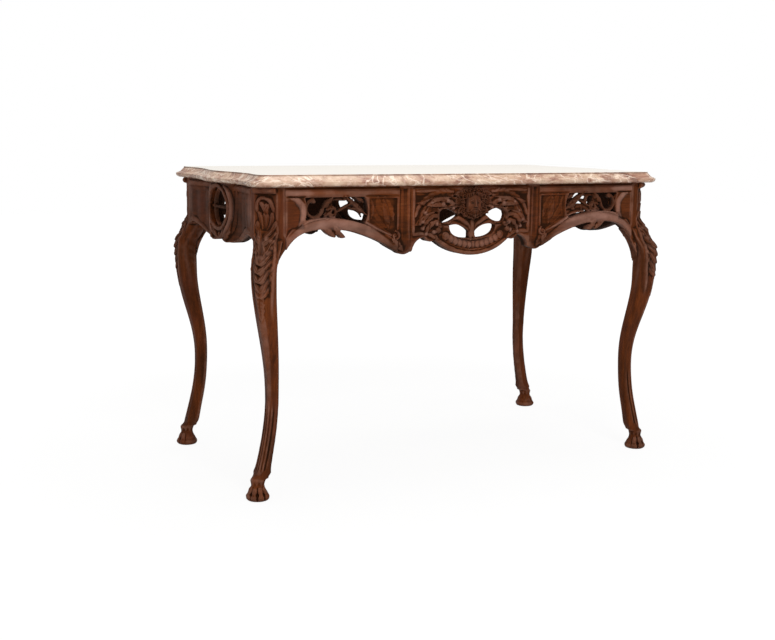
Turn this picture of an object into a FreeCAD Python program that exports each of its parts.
import FreeCAD, Part
import math
import os

# Pier table with four cabriole legs, pierced and carved aprons on all four sides and a loose marble slab.
# Millimetres, +Z up, X along the front, front at -Y, origin on the floor below the centre of the table.

# ---------------------------------------------------------------- overall sizes
table_height = 780.0
slab_thickness = 28.0
frame_length = 1136.0
frame_depth = 606.0

# ---------------------------------------------------------------- marble slab
slab_overhang = 20.0
slab_corner_radius = 38.0
slab_ear_length = 80.0
slab_front_bow = 9.0
slab_front_swell = 5.4
slab_side_hollow = 8.0
slab_side_return = 1.6
slab_side_bow = 12.0
slab_bow_shares = (0.86, 0.42)
slab_bevel_width = 24.0
slab_quirk = 2.5
slab_nose_height = 7.0
slab_nose_thickness = 4.0
slab_foot_inset = 8.0
slab_foot_round = 3.0

# ---------------------------------------------------------------- legs
knee_drop = 190.0
knee_width = 55.0
knee_inset_x = 7.0
knee_inset_y = -1.0
knee_corner_cut = 15.0
knee_inner_round = 10.0
knee_flare = 5.0
shoulder_rise = 88.0
shoulder_steps = ((0.18, 0.10), (0.36, 0.37), (0.55, 0.63), (0.75, 0.86))
shoulder_share = 0.8
shin_width = 30.5
shin_corner_cut = 5.0
shin_inner_round = 9.0
section_crown = 0.36
leg_bend = 31.0
bend_start = 0.43
taper_start = 0.36
bend_run_x = 0.49
bend_run_y = 0.43
calf_share = 0.36
calf_power = 1.6
calf_splay = 0.8
foot_splay_x = 41.0
foot_splay_y = 10.0
cuff_height = 52.0
cuff_width = 35.5
cuff_lip = 3.0
cuff_swell = 1.5
leg_stations = 12

# ---------------------------------------------------------------- paw feet
ankle_height = 39.0
ankle_radius = 16.0
foot_radius = 28.0
foot_height = 20.0
foot_sole_inset = 3.0
foot_instep = 5.0
foot_pad_round = 1.0
foot_pad_share = 0.6
cuff_flare_slope = 0.6
toe_count = 5
toe_direction = 225.0
toe_pitch = 42.0
toe_groove_radius = 3.5
toe_groove_depth = 2.0

# ---------------------------------------------------------------- corner posts
post_size = 62.0
post_cant = 41.0
ear_drop = 178.0
ear_curve = (0.22, 0.62)
cap_height = 16.0
cap_projection = 12.0

# ---------------------------------------------------------------- joinery
tenon_length = 24.0
tenon_thickness = 12.0
tenon_set_back = 11.0
tenon_height = 70.0
tenon_top_margin = 18.0
mortise_clearance = 0.2
peg_diameter = 6.0
peg_length = 40.0
peg_margin = 18.0
block_leg = 58.0
block_height = 50.0
block_drop = 8.0
screw_diameter = 5.0
screw_head_diameter = 9.0
screw_head_height = 3.0
screw_head_depth = 6.0
screw_place = 26.0
screw_grip = 16.0
cross_rail_width = 40.0
cross_rail_height = 22.0
cross_rail_housing = 14.0

# ---------------------------------------------------------------- long aprons: outline
apron_thickness = 28.0
top_rail_height = 26.0
breakfront = 4.0
strip_position = 190.0
strip_width = 24.0
stile_width = 50.0
spandrel_width = 98.0
arch_spring_drop = 149.0
arch_crown_drop = 102.0
arch_band_width = 27.0
arch_opening_shares = (0.3, 0.5)
arch_spring_knots = ((0.0, 1.0), (0.15, 0.15))
arch_break_knots = ((0.36, 0.0), (0.62, 0.19), (0.85, 0.62), (0.97, 0.95))
arch_start_slope = (-0.55, 1.0)
arch_end_slope = (-1.0, -0.5)
break_drop = 166.0
break_round = 3.0
eave_drop = 128.0
eave_places = (8.0, 22.0, 42.0, 57.0)
eave_lip_share = 0.6
eave_sag = 12.0
crescent_drop = 177.0
crescent_half_width = 108.0
crescent_rise = 41.0
crescent_band = 42.0
horn_rise = 36.0

# ---------------------------------------------------------------- long aprons: relief and pierced work
band_projection = 4.0
crescent_projection = 5.0
coin_count = 9
coin_radius = 12.0
coin_projection = 3.0
coin_spread = 84.0
panel_recess = 4.0
panel_margin = 9.0
panel_side_margin = 13.5
stile_panel_flat = 18.0
carving_web = 13.0
back_hollow_reach = 122.0
back_hollow_bend = 0.72
back_hollow_top = 126.0
chin_drop_width = 17.0
leaf_projection = 5.0
pendant_drop = 20.0
pendant_width = 22.0
pendant_shares = (0.3, 0.5)
pendant_depth = 17.0
sprig_place = 0.38

# Edges of the cartouche holes: share of the crescent's half width, height over the crescent's inner edge.
crescent_inner_edge = ((0.36, 4.0), (0.55, 13.0), (0.63, 33.0))
lower_hole_chin = 18.0
lower_hole_shoulder = (0.36, 35.0)
upper_hole_inside = (0.37, 59.0)
upper_hole_over = (0.58, 73.0)
upper_hole_top = (0.82, 75.0)
upper_hole_outside = (0.90, 58.0)
upper_hole_foot = (0.84, 41.0)
upper_hole_under = (0.62, 43.0)

# Leaves beside the mascaron: inset from the strip, drop and width.
wing_cheek = (0.45, 0.55)
wing_horn = (0.92, 0.9)
wing_upper_leaf = (18.0, 44.0, 26.0)
wing_middle_leaf = (14.0, 98.0, 24.0)
wing_lower_leaf = (52.0, 118.0, 20.0)

# ---------------------------------------------------------------- long aprons: openwork of the side bays
openwork_set_back = 6.0
openwork_thickness = 13.0
opening_inner_bulge = 8.0
opening_outer_bulge = 5.0
scroll_width = 7.0
scroll_bite = 2.0
scroll_eye_share = 0.9
outer_scroll_inset = 26.0
outer_scroll_start = 185.0
outer_scroll_sweep = 255.0
middle_scroll_reach = 86.0
middle_scroll_share = 0.55
middle_scroll_start = 20.0
middle_scroll_sweep = 250.0
tail_lean = 8.0
tail_width = 14.0
stem_reach = 50.0
stem_rise = 22.0
stem_width = 12.0
twig_share = 0.66
twig_width = 6.0
curl_reach = 24.0
curl_drop = 15.0
curl_width = 9.0

# ---------------------------------------------------------------- mascarons
mask_height = 72.0
mask_top_drop = 8.0
mask_sink = 9.0
mask_fan_root = 0.55
mask_fan_reach = 42.0
mask_fan_rise = 31.0
mask_fan_spread = 170.0
mask_leaf_count = 9
mask_leaf_width = 15.0
mask_leaf_depth = 8.0
beard_leaf_reach = 20.0
beard_leaf_rise = 0.1
nose_length = 15.0
nose_width = 10.0
nose_rise = 0.38
nose_lean = 0.12
nose_projection = 15.0
brow_rise = 0.63
brow_half_width = 15.0
brow_width = 6.0
brow_projection = 14.0
eye_spacing = 17.0
eye_rise = 0.54
eye_radius = 4.5
eye_centre_projection = 7.5
socket_radius = 7.0
socket_centre_projection = 17.0

# Sections of the mascaron's head: share of its height, half width and projection.
head_sections = (
    (0.0, 8.0, 5.0),
    (0.12, 14.0, 10.5),
    (0.28, 18.5, 13.5),
    (0.45, 20.5, 12.5),
    (0.63, 21.0, 12.5),
    (0.80, 19.0, 11.5),
    (0.95, 12.0, 6.0),
)

# ---------------------------------------------------------------- side aprons
side_hollow = 14.0
side_bulge = 10.0
side_inner_depth = 36.0
side_spring_drop = 124.0
side_crown_drop = 117.0
side_lobe_drop = 149.0
side_notch_drop = 138.0
side_opening_half_width = 66.0
side_opening_top_drop = 15.0
side_opening_height = 100.0
side_ridge_width = 9.0
side_ridge_projection = 6.0
side_tie_width = 7.0
side_scroll_reach = 53.0
side_scroll_foot = 8.0
side_openwork_thickness = 8.0
side_crown_place = 0.87
side_shoulder_place = 0.62
side_lobe_start = 0.43
side_lobe_share = 0.45
side_lobe_round = 3.0
side_plan_steps = 16
side_hollow_share = 0.95
side_bulge_share = 0.45

# ---------------------------------------------------------------- worked out from the sizes above
frame_top = table_height - slab_thickness
half_length = frame_length / 2.0
half_depth = frame_depth / 2.0
long_end = half_length - post_size
side_end = half_depth - post_size
knee_height = frame_top - knee_drop
foot_inset_x = knee_inset_x + leg_bend - foot_splay_x
foot_inset_y = knee_inset_y + leg_bend - foot_splay_y
strip_inner = strip_position - strip_width / 2.0
strip_outer = strip_position + strip_width / 2.0
opening_outer = long_end - stile_width
opening_inner = strip_outer + spandrel_width
rail_bottom = frame_top - top_rail_height
arch_crown = frame_top - arch_crown_drop
crescent_top_drop = crescent_drop - crescent_band
crescent_radius = (crescent_half_width ** 2 + crescent_rise ** 2) / (2.0 * crescent_rise)
tenon_top = frame_top - tenon_top_margin
tenon_bottom = tenon_top - tenon_height
side_centre_drop = side_opening_top_drop + side_opening_height / 2.0

EXTRA = 5.0
ORIGIN = FreeCAD.Vector(0, 0, 0)
ALONG = FreeCAD.Vector(1, 0, 0)
INWARD = FreeCAD.Vector(0, 1, 0)
UP = FreeCAD.Vector(0, 0, 1)


def v(x, y, z):
    return FreeCAD.Vector(x, y, z)


def line(start, end):
    return Part.LineSegment(start, end).toShape()


def arc(start, middle, end):
    return Part.Arc(start, middle, end).toShape()


def spline(points, start_direction=None, end_direction=None):
    curve = Part.BSplineCurve()
    if start_direction is None:
        curve.interpolate(points)
    else:
        curve.interpolate(Points=points, InitialTangent=start_direction, FinalTangent=end_direction)
    return curve.toShape()


def filled(edges):
    return Part.Face(Part.Wire(Part.sortEdges(edges)[0]))


def polygon(points):
    return Part.Face(Part.makePolygon(points + [points[0]]))


def smooth_step(share):
    share = min(max(share, 0.0), 1.0)
    return share * share * (3.0 - 2.0 * share)


def blend(low, high, share):
    return low + (high - low) * share


def left_right(shape):
    return [shape, shape.mirror(ORIGIN, ALONG)]


def turned(shape):
    """The same piece on the opposite side of the table."""
    copy = shape.copy()
    copy.rotate(ORIGIN, UP, 180.0)
    return copy


def at_four_corners(shapes):
    copies = []
    for shape in shapes:
        for copy in left_right(shape):
            copies += [copy, copy.mirror(ORIGIN, INWARD)]
    return copies


def united(first, others):
    return first.multiFuse(others).removeSplitter()


def less(shape, cutters):
    for cutter in cutters:
        shape = shape.cut(cutter)
    return shape


def save(name, shape):
    shape.exportStep("parts/" + name + ".step")


# ---------------------------------------------------------------- marble slab


def slab_outline(inset, height):
    """Slab outline at one height: rounded ears at the corners, bowed front, serpentine ends."""
    half_x = half_length + slab_overhang - inset
    half_y = half_depth + slab_overhang - inset
    radius = slab_corner_radius - inset
    front_bow = (0.0, 0.0, slab_front_swell, slab_front_bow)
    end_bow = (0.0, -slab_side_hollow, -slab_side_return, slab_side_bow)

    def run(reach, bows):
        ear = reach - slab_ear_length + inset
        places = [reach - radius] + [ear * share for share in slab_bow_shares] + [0.0]
        first = [(-place, bow) for place, bow in zip(places, bows)]
        return first + [(-place, bow) for place, bow in first[-2::-1]]

    front_points = [v(place, -half_y - bow, height) for place, bow in run(half_x, front_bow)]
    front = spline(front_points, ALONG, ALONG)
    end_points = [v(half_x + bow, place, height) for place, bow in run(half_y, end_bow)]
    right = spline(end_points, INWARD, INWARD)
    swing = radius * math.sqrt(0.5)
    corners = []
    for side_x, side_y in ((1, -1), (1, 1), (-1, 1), (-1, -1)):
        centre = v(side_x * (half_x - radius), side_y * (half_y - radius), height)
        corners.append(arc(
            centre + v(side_x * radius, 0, 0),
            centre + v(side_x * swing, side_y * swing, 0),
            centre + v(0, side_y * radius, 0),
        ))
    edges = [front, corners[0], right, corners[1], turned(front), corners[2], turned(right), corners[3]]
    return Part.Wire(edges)


def make_slab():
    """Edge moulding from below: foot, nose, hollow bevel and a small upright quirk under the top."""
    nose_top = slab_nose_height + slab_nose_thickness
    quirk_foot = slab_thickness - slab_quirk
    bevel_middle = (nose_top + quirk_foot) / 2.0 - slab_quirk
    steps = (
        (slab_foot_inset, 0.0),
        (slab_foot_inset - 2.0 * slab_foot_round, slab_foot_round),
        (0.0, slab_nose_height),
        (0.0, nose_top),
        (slab_bevel_width / 2.0, bevel_middle),
        (slab_bevel_width - slab_quirk, quirk_foot),
        (slab_bevel_width - slab_quirk, slab_thickness),
    )
    outlines = [slab_outline(inset, frame_top + rise) for inset, rise in steps]
    return Part.makeLoft(outlines, True, True)


# ---------------------------------------------------------------- legs


def corner_point(inset_x, inset_y, height):
    """A point measured inwards from the uncut corner of the front left post."""
    return v(inset_x - half_length, inset_y - half_depth, height)


def leg_section(centre, half, cut, flare, inner, height):
    """Leg section: rounded cant outside, sides that splay by flare, rounded corner inside."""
    near_x, far_x = centre[0] - half, centre[0] + half
    near_y, far_y = centre[1] - half, centre[1] + half
    crown = cut * section_crown
    bite = inner * (1.0 - math.sqrt(0.5))
    inner_y = corner_point(far_x - inner, far_y, height)
    inner_x = corner_point(far_x, far_y - inner, height)
    side_x = corner_point(far_x, near_y + flare, height)
    cant_x = corner_point(near_x + cut, near_y, height)
    cant_y = corner_point(near_x, near_y + cut, height)
    side_y = corner_point(near_x + flare, far_y, height)
    return Part.Wire([
        arc(inner_y, corner_point(far_x - bite, far_y - bite, height), inner_x),
        line(inner_x, side_x),
        line(side_x, cant_x),
        arc(cant_x, corner_point(near_x + crown, near_y + crown, height), cant_y),
        line(cant_y, side_y),
        line(side_y, inner_y),
    ])


def leg_station(share):
    """Leg section at a share of the way from the cuff (0) to the knee (1)."""
    bend_x = 1.0 - smooth_step((share - bend_start) / bend_run_x)
    bend_y = 1.0 - smooth_step((share - bend_start) / bend_run_y)
    calf = max(1.0 - share / calf_share, 0.0)
    splay = calf_splay * calf ** calf_power
    knee = smooth_step((share - taper_start) / (1.0 - taper_start))
    cuff = calf ** 2
    centre_x = knee_inset_x + leg_bend * bend_x - foot_splay_x * splay
    centre_y = knee_inset_y + leg_bend * bend_y - foot_splay_y * splay
    width = blend(shin_width, knee_width, knee) + (cuff_width - shin_width) * cuff
    return leg_section(
        (centre_x, centre_y),
        width / 2.0,
        blend(shin_corner_cut, knee_corner_cut, knee),
        knee_flare * knee,
        blend(shin_inner_round, knee_inner_round, knee),
        blend(cuff_height, knee_height, share),
    )


def cabriole():
    """Lofted leg from the cuff over the knee into the foot of the post."""
    sections = [leg_station(index / (leg_stations - 1.0)) for index in range(leg_stations)]
    settle = post_size / 2.0
    for rise, inwards in shoulder_steps:
        centre = (blend(knee_inset_x, settle, inwards), blend(knee_inset_y, settle, inwards))
        flare = knee_flare * (1.0 - inwards)
        height = knee_height + shoulder_rise * rise
        sections.append(leg_section(
            centre, knee_width / 2.0, knee_corner_cut, flare, knee_inner_round, height,
        ))
    top_half = settle * shoulder_share
    top_cut = post_cant - 2.0 * (settle - top_half)
    top = knee_height + shoulder_rise
    sections.append(leg_section((settle, settle), top_half, top_cut, 0.0, knee_inner_round, top))
    return Part.makeLoft(sections, True, False)


def post():
    """Canted corner post whose inner edges run out into the curve of the aprons."""
    foot = frame_top - ear_drop
    plan = polygon([
        corner_point(post_cant, 0, foot),
        corner_point(post_size, 0, foot),
        corner_point(post_size, post_size, foot),
        corner_point(0, post_size, foot),
        corner_point(0, post_cant, foot),
    ])
    reach = post_size + EXTRA

    def ear(leg_face, spring, place):
        spring_height = frame_top - spring
        middle = place(blend(leg_face, post_size, ear_curve[0]), blend(foot, spring_height, ear_curve[1]))
        bottom = place(leg_face, foot)
        tip = place(post_size, spring_height)
        corners = [tip, place(post_size, frame_top), place(-EXTRA, frame_top), place(-EXTRA, foot), bottom]
        edges = [line(start, end) for start, end in zip(corners, corners[1:])]
        return filled([arc(bottom, middle, tip)] + edges)

    face_x = knee_inset_x + knee_width / 2.0
    face_y = knee_inset_y + knee_width / 2.0
    along_x = ear(face_x, arch_spring_drop, lambda place, height: corner_point(place, -EXTRA, height))
    along_y = ear(face_y, side_spring_drop, lambda place, height: corner_point(-EXTRA, place, height))
    column = plan.extrude(v(0, 0, ear_drop))
    column = column.common(along_x.extrude(v(0, reach + EXTRA, 0)))
    return column.common(along_y.extrude(v(reach + EXTRA, 0, 0)))


def post_cap():
    """Rolled cap across the canted face, under the slab."""
    run = post_cant * math.sqrt(2.0)
    radius = cap_height / 2.0
    outward = v(-1, -1, 0).normalize() * (cap_projection - radius)
    start = corner_point(post_cant, 0, frame_top)
    end = corner_point(0, post_cant, frame_top)
    roll = Part.makeCylinder(radius, run, start + outward - UP * radius, v(-1, 1, 0))
    neck = polygon([start, end, end + outward, start + outward])
    return [roll, neck.extrude(v(0, 0, -cap_height))]


def paw_foot():
    """Bell-shaped paw turned about the ankle line, with grooves between the toes."""
    cuff_radius = cuff_width / 2.0 + cuff_swell
    cuff_top = cuff_height + cuff_lip
    sole = v(foot_radius - foot_sole_inset, 0, 0)
    pad_middle = v(foot_radius, 0, foot_height / 4.0)
    pad_top = v(foot_radius - foot_pad_round, 0, foot_height * foot_pad_share)
    instep = v(foot_radius - foot_instep, 0, foot_height)
    ankle = v(ankle_radius, 0, ankle_height)
    cuff = v(cuff_radius, 0, cuff_height - cuff_lip)
    cuff_edge = v(cuff_radius - cuff_swell, 0, cuff_top)
    edges = [
        line(ORIGIN, sole),
        arc(sole, pad_middle, pad_top),
        spline([pad_top, instep, ankle, cuff], UP, v(cuff_flare_slope, 0, 1)),
        line(cuff, cuff_edge),
        line(cuff_edge, v(0, 0, cuff_top)),
        line(v(0, 0, cuff_top), ORIGIN),
    ]
    bell = filled(edges).revolve(ORIGIN, UP, 360.0)
    axis_foot = corner_point(foot_inset_x, foot_inset_y, 0)
    bell.translate(axis_foot)
    grooves = []
    for index in range(toe_count - 1):
        angle = math.radians(toe_direction + (index - (toe_count - 2) / 2.0) * toe_pitch)
        outward = v(math.cos(angle), math.sin(angle), 0)
        low = axis_foot + outward * (foot_radius + toe_groove_depth) - UP * EXTRA
        high = axis_foot + outward * (ankle_radius + toe_groove_depth) + UP * (ankle_height - EXTRA)
        grooves.append(Part.makeCylinder(toe_groove_radius, (high - low).Length, low, high - low))
    return less(bell, grooves)


def tenon_long(clearance):
    """Tenon of a long apron at its left end; the mortise is the same form with clearance."""
    return Part.makeBox(
        tenon_length + clearance,
        tenon_thickness + 2.0 * clearance,
        tenon_height + 2.0 * clearance,
        v(-long_end - tenon_length - clearance, tenon_set_back - half_depth - clearance,
          tenon_bottom - clearance),
    )


def tenon_side(clearance):
    """Tenon of a side apron at its front end."""
    return Part.makeBox(
        tenon_thickness + 2.0 * clearance,
        tenon_length + clearance,
        tenon_height + 2.0 * clearance,
        v(tenon_set_back - half_length - clearance, -side_end - tenon_length - clearance,
          tenon_bottom - clearance),
    )


def pegs_of_corner():
    """Four draw pegs through the front left post, two to each tenon."""
    pegs = []
    radius = peg_diameter / 2.0
    for height in (tenon_bottom + peg_margin, tenon_top - peg_margin):
        over_long = v(-long_end - tenon_length / 2.0, -half_depth, height)
        over_side = v(-half_length, -side_end - tenon_length / 2.0, height - peg_diameter)
        pegs.append(Part.makeCylinder(radius, peg_length, over_long, INWARD))
        pegs.append(Part.makeCylinder(radius, peg_length, over_side, ALONG))
    return pegs


def make_leg():
    leg = united(post(), [cabriole(), paw_foot()] + post_cap())
    return less(leg, [tenon_long(mortise_clearance), tenon_side(mortise_clearance)] + pegs_of_corner())


# ---------------------------------------------------------------- small joinery


def block_screws():
    """Two screws of the front left block, one into each apron."""
    height = frame_top - block_drop - block_height / 2.0
    spots = (
        (v(screw_place - long_end, apron_thickness - half_depth, height), INWARD),
        (v(side_inner_depth - half_length, screw_place - side_end, height), ALONG),
    )
    screws = []
    for foot, outward in spots:
        seat_depth = block_leg - screw_place - screw_head_depth
        seat = foot + outward * seat_depth
        shank = Part.makeCylinder(screw_diameter / 2.0, seat_depth + screw_grip, seat, outward * -1.0)
        head = Part.makeCylinder(screw_head_diameter / 2.0, screw_head_height, seat, outward)
        screws.append(shank.fuse(head).removeSplitter())
    return screws


def corner_block():
    """Glue block hugging the inside of the front left post, screwed to both aprons."""
    foot = frame_top - block_drop - block_height
    long_inner = apron_thickness - half_depth
    side_inner = side_inner_depth - half_length
    block = polygon([
        v(-long_end, long_inner, foot),
        v(-long_end + block_leg, long_inner, foot),
        v(side_inner, -side_end + block_leg, foot),
        v(side_inner, -side_end, foot),
        v(-long_end, -side_end, foot),
    ]).extrude(v(0, 0, block_height))
    return less(block, block_screws())


def cross_rail(place):
    """Rail from front to back under the slab, housed into both long aprons."""
    reach = half_depth - apron_thickness + cross_rail_housing
    corner = v(place - cross_rail_width / 2.0, -reach, frame_top - cross_rail_height)
    return Part.makeBox(cross_rail_width, 2.0 * reach, cross_rail_height, corner)


def fasteners():
    return at_four_corners(pegs_of_corner() + block_screws())


# ---------------------------------------------------------------- long aprons: outline


def elevation(x, drop):
    """A point of the front elevation: x from the centre, drop below the frame top."""
    return v(x, 0, frame_top - drop)


def bay_place(share):
    """Place in a side bay, from the post (0) to the outer edge of the strip (1)."""
    return blend(long_end, strip_outer, share)


def arch_points(rise, first=0.0, last=1.0):
    """Curve of the side bay's arch, raised by rise, between two shares of the bay."""
    knots = [(share, blend(arch_crown_drop, arch_spring_drop, fall)) for share, fall in arch_spring_knots]
    knots += [(share, blend(arch_crown_drop, break_drop, fall)) for share, fall in arch_break_knots]
    inside = [(share, drop) for share, drop in knots if first <= share <= last]
    return [elevation(bay_place(share), drop - rise) for share, drop in inside]


def arch_edge():
    start = v(arch_start_slope[0], 0, arch_start_slope[1])
    end = v(arch_end_slope[0], 0, arch_end_slope[1])
    return spline(arch_points(0.0), start, end)


def band_top(place):
    """Height of the arch band's upper edge at a place in the bay."""
    probe = line(elevation(place, -EXTRA), elevation(place, crescent_drop))
    return spline(arch_points(arch_band_width)).distToShape(probe)[1][0][0].z


def crescent_outer(share):
    """Point on the crescent's outer arc from the horn (0) to the bottom (1)."""
    spread = math.asin(crescent_half_width / crescent_radius) * (1.0 - share)
    drop = crescent_drop - crescent_radius * (1.0 - math.cos(spread))
    return elevation(crescent_radius * math.sin(spread), drop)


def half_outline():
    """Right half of the apron's outer edge, from the top centre to the bottom centre."""
    arch_end = arch_points(0.0)[-1]
    end_top = elevation(long_end, 0)
    foot_end = elevation(strip_inner, break_drop - break_round)
    foot_lip = elevation(strip_inner - eave_places[0] * eave_lip_share, break_drop - break_round)
    drop_end = elevation(strip_inner - eave_places[0], break_drop - eave_places[0])
    cut_middle = elevation(strip_inner - eave_places[1], eave_drop + eave_places[0])
    cut_top = elevation(strip_inner - eave_places[2], eave_drop)
    eave_low = elevation(strip_inner - eave_places[3], eave_drop + eave_sag)
    horn = elevation(crescent_half_width, crescent_drop - crescent_rise)
    return [
        line(elevation(0, 0), end_top),
        line(end_top, elevation(long_end, arch_spring_drop)),
        arch_edge(),
        arc(arch_end, elevation(strip_position, break_drop + break_round), foot_end),
        arc(foot_end, foot_lip, drop_end),
        arc(drop_end, cut_middle, cut_top),
        arc(cut_top, eave_low, horn),
        arc(horn, crescent_outer(0.5), elevation(0, crescent_drop)),
    ]


# ---------------------------------------------------------------- long aprons: pierced cartouche


def over_crescent(share, rise):
    """A point of the cartouche, by share of the crescent's half width and height over its inner edge."""
    return elevation(crescent_half_width * share, crescent_top_drop - rise)


def crescent_inner():
    """Inner edge of the right half of the crescent, from the chin drop to the horn."""
    foot = elevation(chin_drop_width / 2.0, crescent_top_drop - 1.0)
    return [foot] + [over_crescent(*place) for place in crescent_inner_edge]


def lower_opening():
    inner = crescent_inner()
    chin = elevation(chin_drop_width / 2.0, crescent_top_drop - lower_hole_chin)
    return filled([
        spline(inner),
        arc(inner[-1], over_crescent(*lower_hole_shoulder), chin),
        line(chin, inner[0]),
    ])


def upper_opening():
    inside = over_crescent(*upper_hole_inside)
    top = over_crescent(*upper_hole_top)
    foot = over_crescent(*upper_hole_foot)
    return filled([
        arc(inside, over_crescent(*upper_hole_over), top),
        arc(top, over_crescent(*upper_hole_outside), foot),
        arc(foot, over_crescent(*upper_hole_under), inside),
    ])


def back_relief():
    """Hollow in the back of the board behind the right half of the pierced cartouche."""
    foot = elevation(0, crescent_top_drop + EXTRA)
    low_middle = elevation(back_hollow_reach * back_hollow_bend, crescent_top_drop - 2.0 * EXTRA)
    shoulder = elevation(back_hollow_reach, back_hollow_top - crescent_band)
    corner = elevation(back_hollow_reach, crescent_drop - back_hollow_top)
    top = elevation(0, crescent_drop - back_hollow_top)
    return filled([
        arc(foot, low_middle, shoulder),
        line(shoulder, corner),
        line(corner, top),
        line(top, foot),
    ])


def crescent_face():
    inner = crescent_inner()
    horn = elevation(crescent_half_width, crescent_drop - crescent_rise)
    tip = elevation(crescent_half_width, crescent_top_drop - horn_rise)
    bottom_outer = elevation(0, crescent_drop)
    bottom_inner = elevation(0, crescent_top_drop)
    return filled([
        line(bottom_outer, bottom_inner),
        spline([bottom_inner] + inner[1:]),
        line(inner[-1], tip),
        line(tip, horn),
        arc(horn, crescent_outer(0.5), bottom_outer),
    ])


def coins():
    """Overlapping coins along the middle of the crescent."""
    path_radius = crescent_radius - crescent_band / 2.0
    spread = math.asin(coin_spread / path_radius)
    depth = crescent_projection + coin_projection
    discs = []
    for index in range(coin_count):
        turn = spread * (2.0 * index / (coin_count - 1.0) - 1.0)
        x = path_radius * math.sin(turn)
        drop = crescent_drop - crescent_radius + path_radius * math.cos(turn)
        lift = coin_projection / 2.0 * (index % 2)
        centre = elevation(x, drop) - INWARD * (depth + breakfront - lift)
        discs.append(Part.makeCylinder(coin_radius, depth, centre, INWARD))
    return discs


def chin_bar():
    """Drop that ties the mascaron's chin to the crescent."""
    half = chin_drop_width / 2.0
    low = crescent_top_drop + EXTRA
    high = mask_top_drop + mask_height
    corners = ((-half, low), (half, low), (half, high), (-half, high))
    return polygon([elevation(x, drop) for x, drop in corners])


# ---------------------------------------------------------------- long aprons: side bays


def side_opening():
    """Pierced opening of a side bay, over the arch band."""
    low_outer = v(opening_outer, 0, band_top(opening_outer))
    low_inner = v(opening_inner, 0, band_top(opening_inner))
    bottom = [low_outer] + arch_points(arch_band_width, *arch_opening_shares) + [low_inner]
    top_outer = v(opening_outer, 0, rail_bottom)
    top_inner = v(opening_inner, 0, rail_bottom)
    middle = (rail_bottom + low_outer.z) / 2.0
    return filled([
        spline(bottom),
        arc(low_inner, v(opening_inner - opening_inner_bulge, 0, middle + opening_inner_bulge), top_inner),
        line(top_inner, top_outer),
        arc(top_outer, v(opening_outer - opening_outer_bulge, 0, middle), low_outer),
    ])


def arch_band():
    """The raised band that follows the arch down to the strip."""
    low = arch_points(0.0)
    high = arch_points(arch_band_width)
    return filled([arch_edge(), line(low[-1], high[-1]), spline(high), line(high[0], low[0])])


def leaf(foot, tip, width):
    """Lens-shaped leaf between two points of the elevation."""
    middle = (foot + tip) * 0.5
    axis = tip - foot
    aside = v(-axis.z, 0, axis.x).normalize() * (width / 2.0)
    return filled([arc(foot, middle + aside, tip), arc(tip, middle - aside, foot)])


def scroll(centre, radius, start, sweep):
    """C-scroll in elevation: a ring sector with an eye at its free end."""
    outer = radius + scroll_width / 2.0
    inner = radius - scroll_width / 2.0

    def at(reach, angle):
        turn = math.radians(angle)
        return centre + v(reach * math.cos(turn), 0, reach * math.sin(turn))

    end = start + sweep
    middle = start + sweep / 2.0
    ring = filled([
        arc(at(outer, start), at(outer, middle), at(outer, end)),
        line(at(outer, end), at(inner, end)),
        arc(at(inner, end), at(inner, middle), at(inner, start)),
        line(at(inner, start), at(outer, start)),
    ])
    swell = scroll_width * scroll_eye_share
    eye = Part.Circle(at(outer - swell, end), INWARD, swell).toShape()
    return [ring, Part.Face(Part.Wire(eye))]


def openwork():
    """Scrolls and leaves that fill the pierced opening of the right side bay."""
    outer_place = opening_outer - outer_scroll_inset
    outer_low = band_top(outer_place)
    outer_radius = (rail_bottom - outer_low - scroll_width) / 2.0
    outer_centre = v(outer_place, 0, outer_low + outer_radius + scroll_bite)
    middle_place = opening_inner + middle_scroll_reach
    middle_low = band_top(middle_place)
    middle_radius = outer_radius * middle_scroll_share
    middle_centre = v(middle_place, 0, middle_low + middle_radius + scroll_bite)
    tail_foot = outer_centre - v(outer_radius, 0, 0)
    tail_tip = v(middle_place - tail_lean, 0, rail_bottom + scroll_bite)
    stem_foot = v(opening_inner - opening_inner_bulge, 0, band_top(opening_inner) + stem_rise)
    stem_tip = v(opening_inner + stem_reach, 0, rail_bottom + scroll_bite)
    twig_foot = middle_centre + v(-middle_radius, 0, -scroll_bite)
    twig_tip = blend(stem_foot, stem_tip, twig_share)
    curl_foot = v(opening_inner + curl_reach, 0, rail_bottom + scroll_bite)
    curl_tip = v(opening_inner - scroll_bite, 0, rail_bottom - curl_drop)
    pieces = scroll(outer_centre, outer_radius, outer_scroll_start, outer_scroll_sweep)
    pieces += scroll(middle_centre, middle_radius, middle_scroll_start, middle_scroll_sweep)
    pieces.append(leaf(tail_foot, tail_tip, tail_width))
    pieces.append(leaf(stem_foot, stem_tip, stem_width))
    pieces.append(leaf(twig_foot, twig_tip, twig_width))
    pieces.append(leaf(curl_foot, curl_tip, curl_width))
    return pieces


def stile_panel():
    """D-shaped sunk panel of the stile beside the post."""
    flat = long_end - panel_side_margin
    shoulder = flat - stile_panel_flat
    top = rail_bottom + panel_margin / 4.0
    low = band_top(opening_outer) + panel_margin
    bulge = opening_outer + panel_margin
    return filled([
        line(v(flat, 0, low), v(flat, 0, top)),
        line(v(flat, 0, top), v(shoulder, 0, top)),
        arc(v(shoulder, 0, top), v(bulge, 0, (top + low) / 2.0), v(shoulder, 0, low)),
        line(v(shoulder, 0, low), v(flat, 0, low)),
    ])


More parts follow.
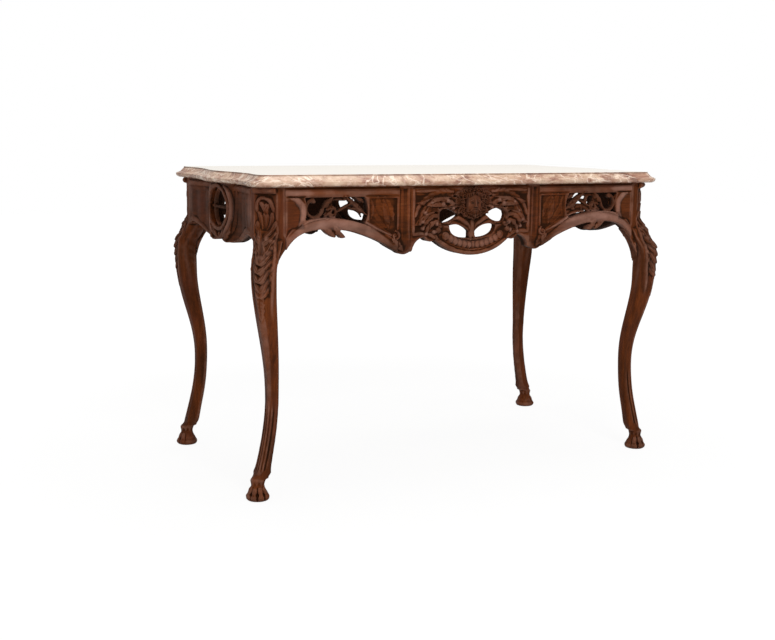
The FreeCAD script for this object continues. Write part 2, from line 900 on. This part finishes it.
def spandrel_panel():
    """Sunk panel between the opening and the strip, above the arch band."""
    inner = strip_outer + panel_margin
    outer = opening_inner - panel_side_margin
    middle = (inner + outer) / 2.0
    top = rail_bottom - panel_margin / 2.0
    low_inner = v(inner, 0, band_top(inner) + panel_margin)
    low_middle = v(middle, 0, band_top(middle) + panel_margin)
    low_outer = v(outer, 0, band_top(outer) + panel_margin)
    return filled([
        line(low_inner, v(inner, 0, top)),
        line(v(inner, 0, top), v(outer, 0, top)),
        line(v(outer, 0, top), low_outer),
        arc(low_outer, low_middle, low_inner),
    ])


def spandrel_sprig():
    """Leaf left standing in the spandrel panel."""
    place = strip_outer + spandrel_width * sprig_place
    root = v(place + panel_margin, 0, rail_bottom - panel_margin)
    tip = v(place - panel_margin / 2.0, 0, band_top(place) + panel_side_margin)
    return leaf(root, tip, 2.0 * panel_margin)


def pendant():
    """Leaf hanging under the crown of the arch."""
    root = v(bay_place(pendant_shares[0]), 0, arch_crown + EXTRA)
    tip = v(bay_place(pendant_shares[1]), 0, arch_crown - pendant_drop)
    return leaf(root, tip, pendant_width)


def wing():
    """Acanthus wing beside the mascaron: three leaves sprung from its cheek and from the crescent."""
    cheek = elevation(mask_fan_reach * wing_cheek[0], mask_height * wing_cheek[1])
    horn = elevation(crescent_half_width * wing_horn[0], mask_height * wing_horn[1])
    leaves = []
    for root, place in ((cheek, wing_upper_leaf), (horn, wing_middle_leaf), (horn, wing_lower_leaf)):
        inset, drop, width = place
        leaves.append(leaf(root, elevation(strip_inner - inset, drop), width))
    return leaves


# ---------------------------------------------------------------- long aprons: solid


def raised(face, projection, thickness):
    """Solid that stands proud of the outer face by projection, thickness deep in all."""
    solid = face.extrude(INWARD * thickness)
    solid.translate(INWARD * -projection)
    return solid


def long_blank():
    """Board with break-front plan and the apron's elevation."""
    plan = polygon([
        v(-long_end, 0, 0),
        v(-strip_outer, 0, 0),
        v(-strip_inner, -breakfront, 0),
        v(strip_inner, -breakfront, 0),
        v(strip_outer, 0, 0),
        v(long_end, 0, 0),
        v(long_end, apron_thickness, 0),
        v(-long_end, apron_thickness, 0),
    ])
    half = half_outline()
    sheet = filled(half + [edge.mirror(ORIGIN, ALONG) for edge in half])
    reach = apron_thickness + breakfront + 2.0 * EXTRA
    return plan.extrude(UP * frame_top).common(raised(sheet, breakfront + EXTRA, reach))


def long_cuts():
    """Pierced openings, sunk panels and the hollow behind the cartouche."""
    through = apron_thickness + 4.0 * EXTRA
    openings = (side_opening(), lower_opening(), upper_opening())
    cuts = [raised(face, 2.0 * EXTRA, through) for face in openings]
    cuts += [raised(face, EXTRA, EXTRA + panel_recess) for face in (stile_panel(), spandrel_panel())]
    cuts.append(raised(back_relief(), -carving_web, through))
    return cuts


def long_relief():
    """Mouldings, leaves and scrolls that stand on the right half of the apron."""
    proud = breakfront + crescent_projection
    relief = [
        raised(arch_band(), band_projection, band_projection + panel_recess + 1.0),
        raised(crescent_face(), proud, proud + carving_web),
        raised(spandrel_sprig(), 0.0, panel_recess + 1.0),
        raised(pendant(), band_projection, pendant_depth),
    ]
    relief += [raised(face, breakfront + leaf_projection, leaf_projection + EXTRA) for face in wing()]
    relief += [raised(face, -openwork_set_back, openwork_thickness) for face in openwork()]
    return relief


def make_long_apron():
    """Front apron: pierced and carved board with a tenon at each end."""
    cuts = [copy for cut in long_cuts() for copy in left_right(cut)]
    relief = [copy for solid in long_relief() for copy in left_right(solid)]
    relief.append(raised(chin_bar(), breakfront, carving_web))
    apron = united(less(long_blank(), cuts), relief + coins())
    apron.translate(INWARD * -half_depth)
    apron = united(apron, left_right(tenon_long(0.0)))
    rails = [cross_rail(side * strip_position) for side in (-1, 1)]
    return less(apron, fasteners() + rails + [make_mask()])


# ---------------------------------------------------------------- side aprons


def side_depth(place):
    """Depth of the serpentine outer face behind the post face, at a place along the side."""
    share = abs(place) / side_end
    hollow = math.sin(math.pi * min(share / side_hollow_share, 1.0)) ** 2
    centre = smooth_step(1.0 - share / side_bulge_share)
    return side_hollow * max(hollow, centre) - side_bulge * centre


def side_elevation(place, drop):
    return v(0, place, frame_top - drop)


def side_half_outline():
    """Rear half of the side apron's edge from the top centre to the notch between the lobes."""
    top = side_elevation(side_end, 0)
    lobe = side_elevation(side_opening_half_width, side_lobe_drop)
    lobe_round = side_elevation(side_opening_half_width * side_lobe_share, side_lobe_drop)
    contour = [
        side_elevation(side_end, side_spring_drop),
        side_elevation(side_end * side_crown_place, side_crown_drop),
        side_elevation(side_end * side_shoulder_place, (side_crown_drop + side_lobe_drop) / 2.0),
        side_elevation(side_end * side_lobe_start, side_lobe_drop - side_lobe_round),
        lobe,
    ]
    return [
        line(side_elevation(0, 0), top),
        line(top, contour[0]),
        spline(contour),
        arc(lobe, lobe_round, side_elevation(0, side_notch_drop)),
    ]


def side_oval(grow):
    """Outline of the cartouche opening, grown outwards by grow."""
    half = side_opening_half_width + grow
    rise = side_opening_height / 2.0 + grow
    centre = side_elevation(0, side_centre_drop)
    points = []
    for index in range(8):
        turn = math.pi * index / 4.0
        points.append(centre + v(0, half * math.sin(turn), rise * math.cos(turn)))
    curve = Part.BSplineCurve()
    curve.interpolate(Points=points, PeriodicFlag=True)
    return Part.Face(Part.Wire(curve.toShape()))


def side_block(proud, inner_depth):
    """Prism of the side apron's plan: serpentine outside, flat inside."""
    places = [side_end * (2.0 * index / side_plan_steps - 1.0) for index in range(side_plan_steps + 1)]
    outer = [v(side_depth(place) - proud, place, 0) for place in places]
    rear = v(inner_depth, side_end, 0)
    front = v(inner_depth, -side_end, 0)
    plan = filled([spline(outer), line(outer[-1], rear), line(rear, front), line(front, outer[0])])
    return plan.extrude(UP * frame_top)


def side_openwork():
    """Two facing C-scrolls in the cartouche, with a tie through their middle to its rim."""
    reach = side_opening_height / 2.0 + scroll_bite
    tie_reach = side_opening_half_width + scroll_bite
    half_tie = side_tie_width / 2.0
    pieces = [polygon([
        side_elevation(-tie_reach, side_centre_drop - half_tie),
        side_elevation(tie_reach, side_centre_drop - half_tie),
        side_elevation(tie_reach, side_centre_drop + half_tie),
        side_elevation(-tie_reach, side_centre_drop + half_tie),
    ])]
    for side in (-1, 1):

        def edge(inset):
            """Low end, middle and high end of the scroll's edge, inset from its outer one."""
            foot = side * (side_scroll_foot - inset / 2.0)
            middle = side * (side_scroll_reach - inset)
            return (
                side_elevation(foot, side_centre_drop + reach),
                side_elevation(middle, side_centre_drop),
                side_elevation(foot, side_centre_drop - reach),
            )

        outer = edge(0.0)
        inner = edge(scroll_width)
        pieces.append(filled([
            arc(*outer),
            line(outer[2], inner[2]),
            arc(*inner[::-1]),
            line(inner[0], outer[0]),
        ]))
    return pieces


def across(face, start, end):
    """Solid over a side elevation face between two depths."""
    solid = face.extrude(ALONG * (end - start))
    solid.translate(ALONG * start)
    return solid


def make_side_apron():
    """Left apron: serpentine plan, lobed lower edge, oval cartouche with raised ridge."""
    reach = side_inner_depth + EXTRA
    half = side_half_outline()
    sheet = across(filled(half + [edge.mirror(ORIGIN, INWARD) for edge in half]), -4.0 * EXTRA, reach)
    oval = across(side_oval(0.0), -4.0 * EXTRA, reach)
    ring = across(side_oval(side_ridge_width).cut(side_oval(0.0)), -4.0 * EXTRA, reach)
    ridge = side_block(side_ridge_projection, side_inner_depth - EXTRA).common(ring).common(sheet)
    board = side_block(0.0, side_inner_depth).common(sheet).cut(oval)
    start = side_depth(0.0) + openwork_set_back
    bars = [across(face, start, start + side_openwork_thickness) for face in side_openwork()]
    apron = united(board, [ridge] + bars)
    apron.translate(ALONG * -half_length)
    tenon = tenon_side(0.0)
    apron = united(apron, [tenon, tenon.mirror(ORIGIN, INWARD)])
    return less(apron, fasteners())


# ---------------------------------------------------------------- mascarons


def mask_point(place, projection, share):
    """A point before the apron's face, by share of the mascaron's height over its chin."""
    chin = frame_top - mask_top_drop - mask_height
    return v(place, -half_depth - breakfront - projection, chin + mask_height * share)


def mask_head():
    """Lofted head from the beard's tip to the crown, cut flat at the apron's face."""
    wires = []
    for share, half_width, projection in head_sections:
        centre = mask_point(0, -mask_sink, share)
        side = mask_point(half_width, -mask_sink, share)
        rear = mask_point(0, -projection - 2.0 * mask_sink, share)
        wires.append(Part.Wire(Part.Ellipse(rear, side, centre).toShape()))
    before = mask_point(-mask_height, mask_height, -1.0)
    space = Part.makeBox(2.0 * mask_height, mask_height, 3.0 * mask_height, before)
    return Part.makeLoft(wires, True, False).common(space)


def mask_leaves():
    """Fan of leaves behind the head and a pair of leaves beside the beard."""
    root = mask_point(0, 0, mask_fan_root)
    turns = [
        90.0 + mask_fan_spread * (index / (mask_leaf_count - 1.0) - 0.5) for index in range(mask_leaf_count)
    ]
    tips = []
    for turn in turns:
        angle = math.radians(turn)
        tips.append(root + v(math.cos(angle) * mask_fan_reach, 0, math.sin(angle) * mask_fan_rise))
    tips += [mask_point(side * beard_leaf_reach, 0, beard_leaf_rise) for side in (-1, 1)]
    return [leaf(root, tip, mask_leaf_width).extrude(INWARD * -mask_leaf_depth) for tip in tips]


def make_mask():
    """Generic mascaron: bearded head with brow, eyes and nose before a fan of leaves."""
    sockets = []
    eyes = []
    for side in (-1, 1):
        place = side * eye_spacing / 2.0
        socket_centre = mask_point(place, socket_centre_projection, eye_rise)
        eye_centre = mask_point(place, eye_centre_projection, eye_rise)
        sockets.append(Part.makeSphere(socket_radius, socket_centre))
        eyes.append(Part.makeSphere(eye_radius, eye_centre))
    head = less(mask_head(), sockets)
    brow_left = mask_point(-brow_half_width, 0, brow_rise)
    brow_right = mask_point(brow_half_width, 0, brow_rise)
    brow = leaf(brow_left, brow_right, brow_width).extrude(INWARD * -brow_projection)
    tip = mask_point(0, nose_projection, nose_rise)
    nose = Part.makeCone(nose_width / 2.0, nose_width / 5.0, nose_length, tip, v(0, nose_lean, 1))
    return united(united(head, eyes), [brow, nose] + mask_leaves())


# ---------------------------------------------------------------- the table

os.makedirs("parts", exist_ok=True)

save("marble_top", make_slab())

front_left = make_leg()
save("front_left_leg", front_left)
save("front_right_leg", front_left.mirror(ORIGIN, ALONG))
save("back_left_leg", front_left.mirror(ORIGIN, INWARD))
save("back_right_leg", turned(front_left))

front_apron = make_long_apron()
save("front_apron", front_apron)
save("back_apron", turned(front_apron))

left_apron = make_side_apron()
save("left_apron", left_apron)
save("right_apron", turned(left_apron))

front_mask = make_mask()
save("front_mascaron", front_mask)
save("back_mascaron", turned(front_mask))

block = corner_block()
save("front_left_corner_block", block)
save("front_right_corner_block", block.mirror(ORIGIN, ALONG))
save("back_left_corner_block", block.mirror(ORIGIN, INWARD))
save("back_right_corner_block", turned(block))

save("left_cross_rail", cross_rail(-strip_position))
save("right_cross_rail", cross_rail(strip_position))

save("tenon_pegs", Part.makeCompound(at_four_corners(pegs_of_corner())))
save("corner_block_screws", Part.makeCompound(at_four_corners(block_screws())))
